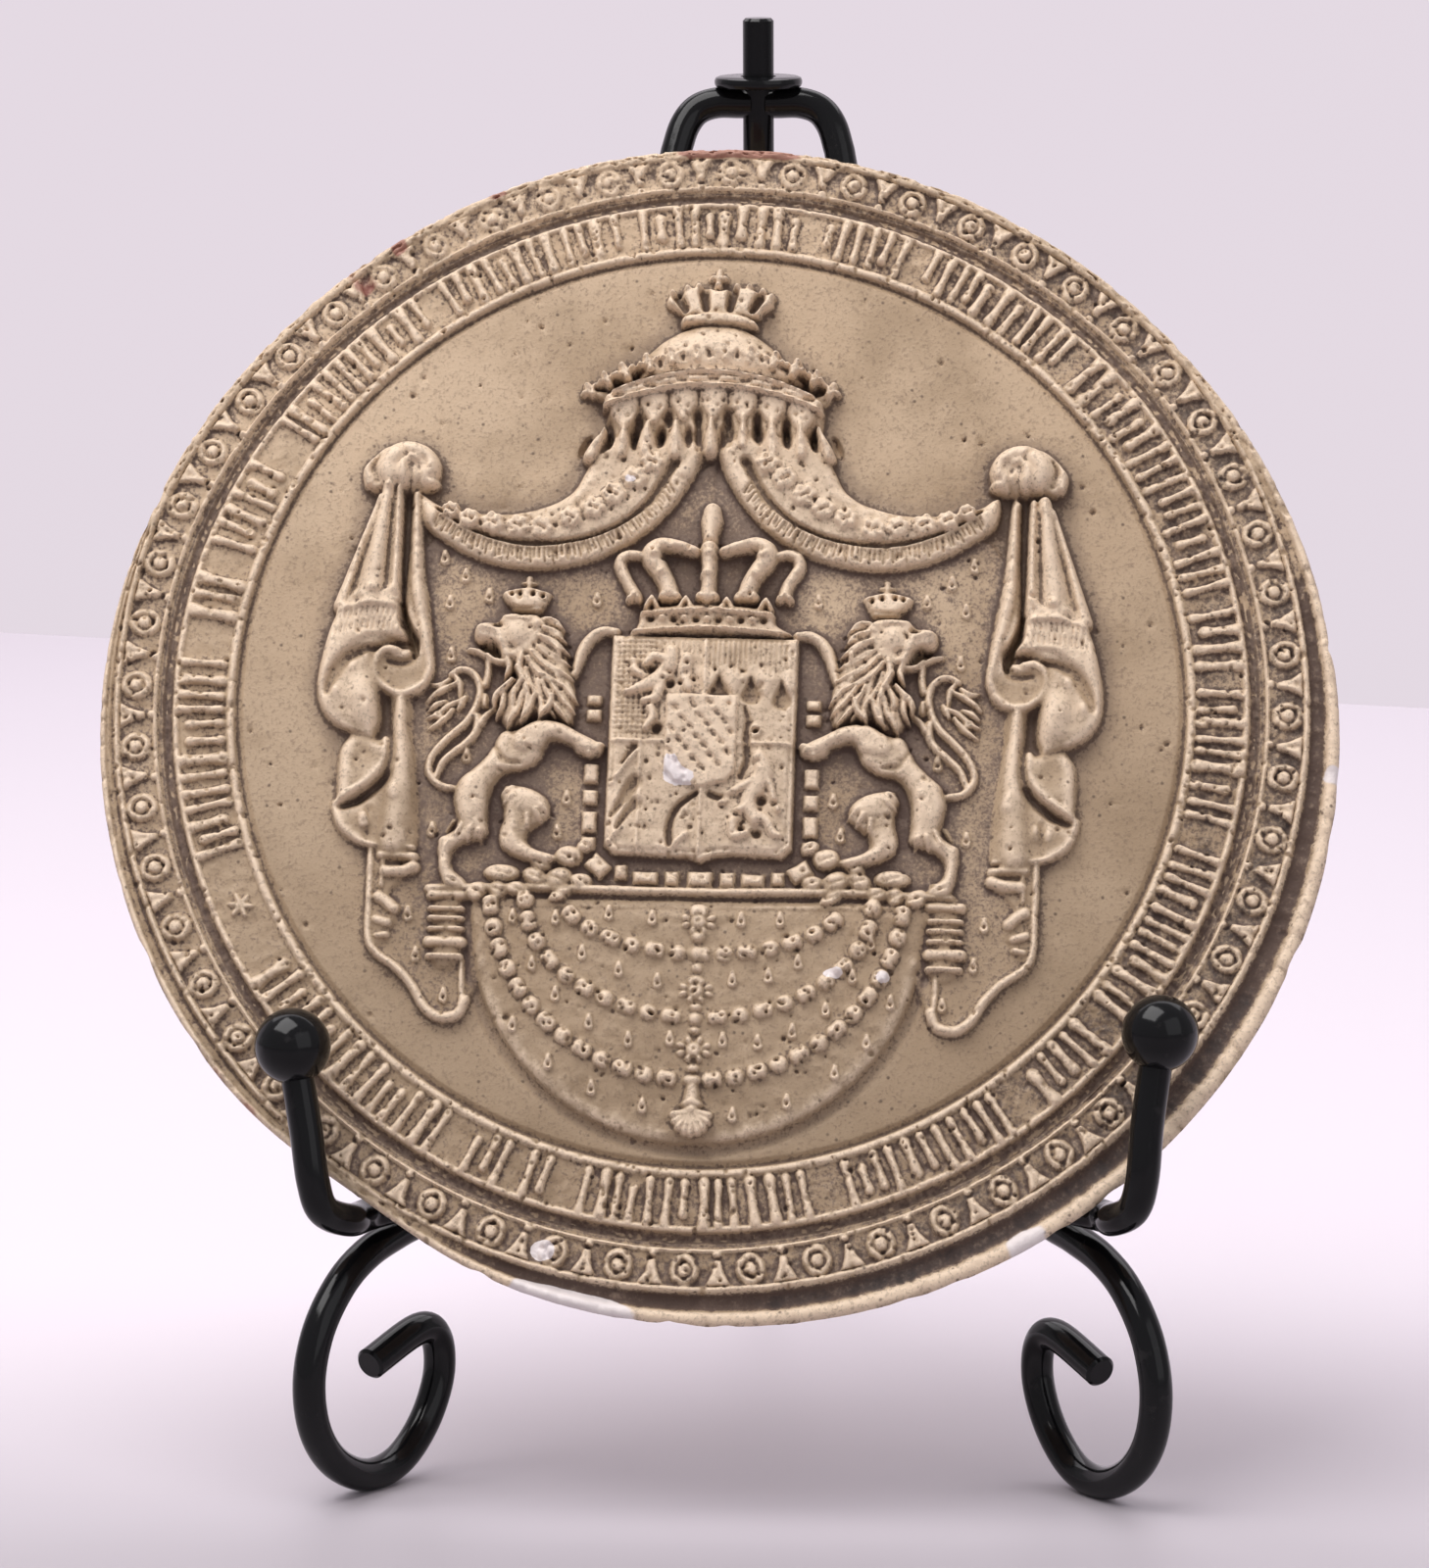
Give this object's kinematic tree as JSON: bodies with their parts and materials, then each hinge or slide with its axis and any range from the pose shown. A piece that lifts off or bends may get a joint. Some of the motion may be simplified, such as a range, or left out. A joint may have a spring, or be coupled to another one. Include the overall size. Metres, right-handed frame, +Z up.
{
  "type": "coat of arms plaque",
  "caption": "Round cast relief plaque of a crowned shield with lions under a draped canopy, standing on a black wire easel with scroll feet.",
  "frame": {"origin": "centre of the bounding box at the table", "axes": "+Z up, -Y towards the viewer, +X to the viewer's right"},
  "size_m": [0.1514, 0.1294, 0.1792],
  "materials": {
    "cast": "matt cream cast with grey-brown patina in the hollows",
    "lacquer": "gloss black lacquer over round steel wire"
  },
  "bodies": {
    "root": {"plaque": "cast", "left_leg": "lacquer", "right_leg": "lacquer", "back_leg": "lacquer", "top_washer": "lacquer", "left_arm": "lacquer", "right_arm": "lacquer", "left_ball": "lacquer", "right_ball": "lacquer"}
  },
  "joints": []
}
